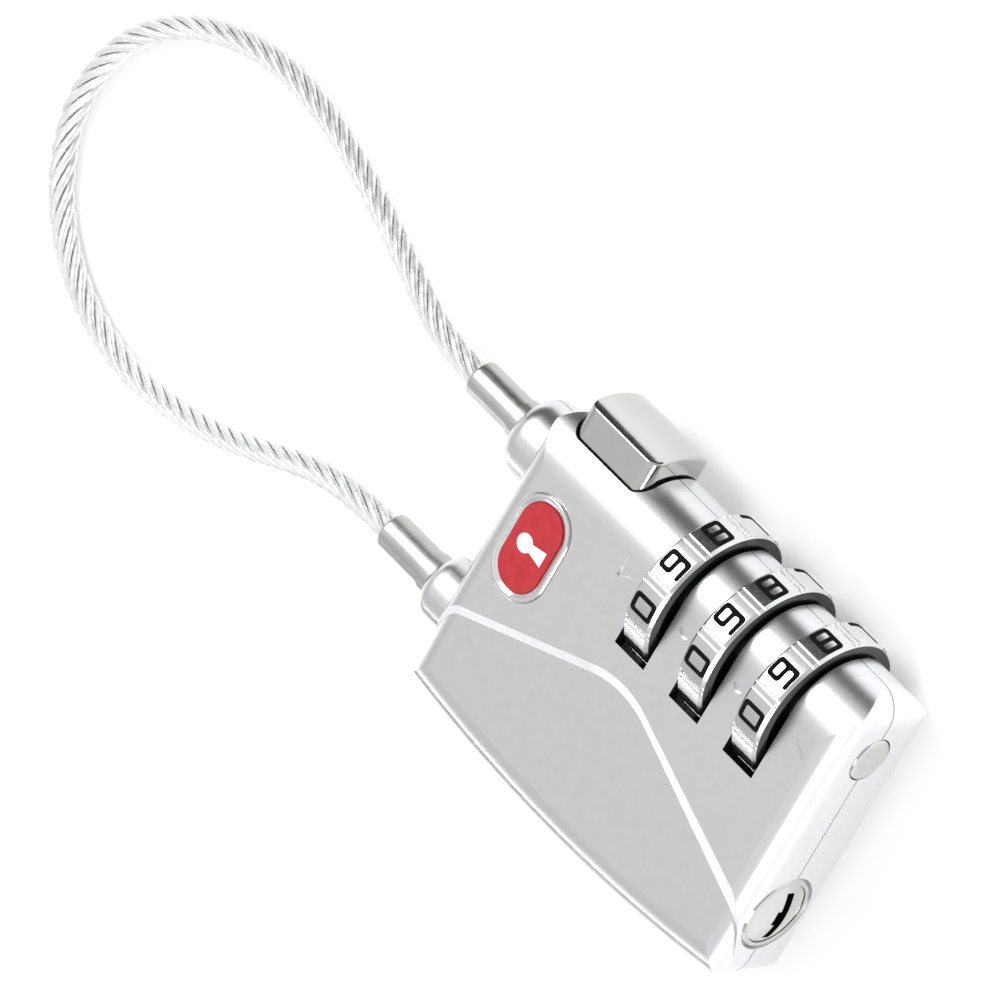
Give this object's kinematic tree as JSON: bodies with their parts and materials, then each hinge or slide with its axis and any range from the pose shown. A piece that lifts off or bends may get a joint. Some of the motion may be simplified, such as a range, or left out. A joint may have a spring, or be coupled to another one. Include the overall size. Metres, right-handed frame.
{
  "type": "cable luggage lock",
  "caption": "Combination cable lock for luggage: two-shell case with number wheels, side opening button, key cylinder, reset button and a steel cable loop.",
  "frame": {"origin": "middle of the flat back face of the case", "axes": "+X towards the number wheels and the opening button, +Y towards the cable loop, +Z out of the front face"},
  "size_m": [0.0418, 0.1197, 0.0168],
  "materials": {
    "case_metal": "fine satin silver over die-cast zinc",
    "wheel_chrome": "bright plated",
    "button_chrome": "mirror plated",
    "bezel_chrome": "plated rim",
    "red_enamel": "glossy resin inlay",
    "steel": "machined",
    "spring_steel": "drawn wire and strip",
    "brass": "machined",
    "ferrule_steel": "crimped, lightly satin",
    "coated_cable": "twisted steel rope under clear vinyl"
  },
  "bodies": {
    "case": {"front_shell": "case_metal", "back_shell": "case_metal", "case_pins": "steel", "badge_bezel": "bezel_chrome", "badge_enamel": "red_enamel", "detent_spring": "spring_steel", "reset_spring": "spring_steel", "button_spring": "spring_steel", "key_barrel": "button_chrome", "heel_pin": "steel", "heel_clip": "spring_steel", "heel_ferrule": "ferrule_steel", "cable": "coated_cable"},
    "dial_1": {"dial_wheel_1": "wheel_chrome", "clutch_sleeve_1": "brass"},
    "dial_2": {"dial_wheel_2": "wheel_chrome", "clutch_sleeve_2": "brass"},
    "dial_3": {"dial_wheel_3": "wheel_chrome", "clutch_sleeve_3": "brass"},
    "reset": {"reset_button": "button_chrome", "dial_shaft": "steel"},
    "button": {"push_button": "button_chrome", "locking_slide": "steel"},
    "key": {"key_core": "button_chrome", "key_wafers": "brass", "wafer_springs": "spring_steel", "key_cam": "steel", "cam_screw": "steel"},
    "toe": {"toe_pin": "steel", "toe_ferrule": "ferrule_steel"}
  },
  "joints": [
    {"name": "dial_1_turn", "type": "hinge", "parent": "case", "child": "dial_1", "pos_m": [0.01085, 0.0018, 0.0066], "axis": [0, 1, 0], "continuous": true},
    {"name": "dial_2_turn", "type": "hinge", "parent": "case", "child": "dial_2", "pos_m": [0.01085, -0.0062, 0.0066], "axis": [0, 1, 0], "continuous": true},
    {"name": "dial_3_turn", "type": "hinge", "parent": "case", "child": "dial_3", "pos_m": [0.01085, -0.0142, 0.0066], "axis": [0, 1, 0], "continuous": true},
    {"name": "button_press", "type": "slide", "parent": "case", "child": "button", "axis": [-1, 0, 0], "range_m": [0, 0.0016], "stiffness_N_per_m": 300, "springref_m": -0.003, "deforming": ["button_spring"]},
    {"name": "reset_press", "type": "slide", "parent": "case", "child": "reset", "axis": [0, 1, 0], "range_m": [0, 0.0014], "stiffness_N_per_m": 200, "springref_m": -0.003, "deforming": ["reset_spring"]},
    {"name": "key_turn", "type": "hinge", "parent": "case", "child": "key", "pos_m": [-0.0079, -0.0228, 0.0066], "axis": [0, 1, 0], "range_deg": [0, 90]},
    {"name": "toe_pull", "type": "slide", "parent": "case", "child": "toe", "axis": [0, 1, 0], "range_m": [0, 0.015], "deforming": ["cable"]}
  ]
}
